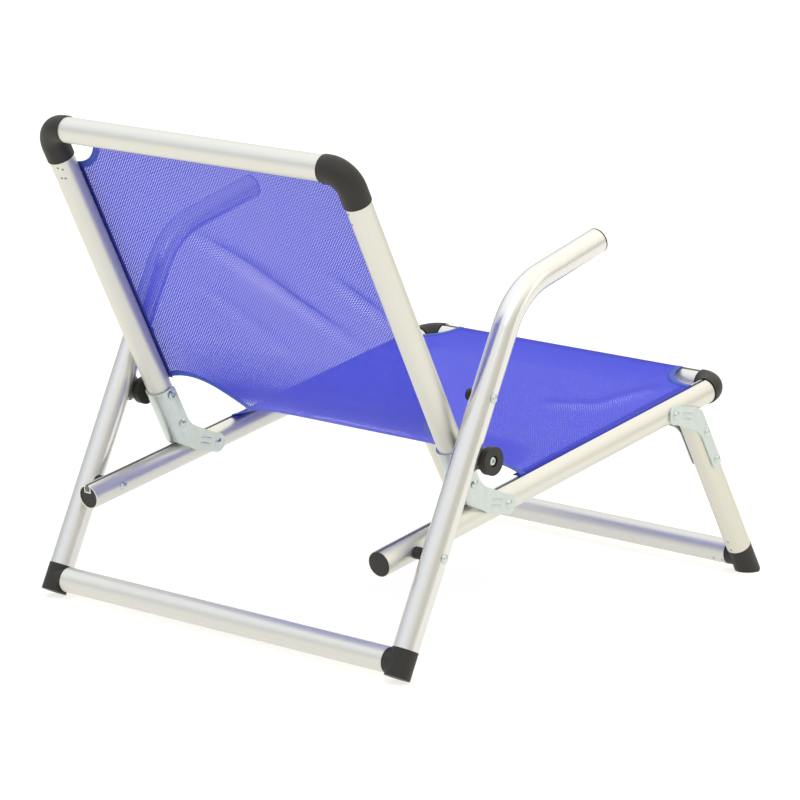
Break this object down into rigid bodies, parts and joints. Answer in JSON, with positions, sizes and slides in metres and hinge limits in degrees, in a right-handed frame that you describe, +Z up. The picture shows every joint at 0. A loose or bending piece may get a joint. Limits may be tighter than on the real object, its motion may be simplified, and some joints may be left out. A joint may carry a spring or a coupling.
{
  "type": "folding beach chair",
  "caption": "Low folding chair: tube seat and back frames with one woven sling, floor leg frames, rear legs bent forward into arms.",
  "frame": {"origin": "on the floor, at the bottom centre of the bounding box of the open chair", "axes": "+Z up; the sitter faces -Y and has +X on the left; the seat rails slope up towards -Y"},
  "size_m": [0.576, 0.7914, 0.5841],
  "materials": {
    "anodised_tube": "satin anodised",
    "polished_tube": "polished with fine lengthwise streaks",
    "black_plastic": "matte moulded",
    "zinc_steel": "bright zinc plate",
    "sling_mesh": "open woven coated mesh",
    "keder_cord": "plain"
  },
  "bodies": {
    "seat_frame": {"seat_rail_left": "anodised_tube", "seat_rail_right": "anodised_tube", "seat_elbow_left": "black_plastic", "seat_elbow_right": "black_plastic", "seat_end_plug_left": "black_plastic", "seat_end_plug_right": "black_plastic", "leg_spacer_left": "black_plastic", "leg_spacer_right": "black_plastic", "seat_front_bar": "anodised_tube", "back_pivot_rivets": "zinc_steel", "front_pivot_rivets": "zinc_steel", "leg_pivot_rivets": "zinc_steel", "sling_seat": "sling_mesh", "sling_fold": "sling_mesh", "seat_keder_cords": "keder_cord"},
    "backrest": {"back_upright_left": "anodised_tube", "back_upright_right": "anodised_tube", "back_elbow_left": "black_plastic", "back_elbow_right": "black_plastic", "back_bracket_left": "zinc_steel", "back_bracket_right": "zinc_steel", "back_top_bar": "anodised_tube", "back_bracket_rivets": "zinc_steel", "roller_bolts": "zinc_steel", "sling_back": "sling_mesh", "back_keder_cords": "keder_cord"},
    "front_legs": {"front_leg_left": "anodised_tube", "front_leg_right": "anodised_tube", "front_foot_left": "black_plastic", "front_foot_right": "black_plastic", "front_bracket_left": "zinc_steel", "front_bracket_right": "zinc_steel", "front_cross_bar": "anodised_tube", "front_bracket_rivets": "zinc_steel"},
    "rear_legs": {"rear_leg_left": "polished_tube", "rear_leg_right": "polished_tube", "rear_foot_left": "black_plastic", "rear_foot_right": "black_plastic", "arm_plug_left": "black_plastic", "arm_plug_right": "black_plastic", "rear_cross_bar": "anodised_tube", "leg_stop_studs": "zinc_steel", "leg_stop_sleeves": "black_plastic"},
    "left_roller": {"roller_left": "black_plastic"},
    "right_roller": {"roller_right": "black_plastic"}
  },
  "joints": [
    {"name": "backrest_fold", "type": "hinge", "parent": "seat_frame", "child": "backrest", "pos_m": [0, 0.10832, 0.16339], "axis": [1, 0, 0], "range_deg": [0, 108]},
    {"name": "front_leg_fold", "type": "hinge", "parent": "seat_frame", "child": "front_legs", "pos_m": [0, -0.20079, 0.22209], "axis": [1, 0, 0], "range_deg": [0, 110]},
    {"name": "rear_leg_fold", "type": "hinge", "parent": "seat_frame", "child": "rear_legs", "pos_m": [0, 0.26663, 0.13331], "axis": [1, 0, 0], "range_deg": [0, 24]},
    {"name": "roller_left_spin", "type": "hinge", "parent": "backrest", "child": "left_roller", "pos_m": [0.269, 0.19062, 0.23234], "axis": [1, 0, 0], "continuous": true},
    {"name": "roller_right_spin", "type": "hinge", "parent": "backrest", "child": "right_roller", "pos_m": [-0.269, 0.19062, 0.23234], "axis": [1, 0, 0], "continuous": true}
  ],
  "couplings": [
    {"joint": "rear_leg_fold", "follows": "backrest_fold", "ratio": 0.22}
  ]
}
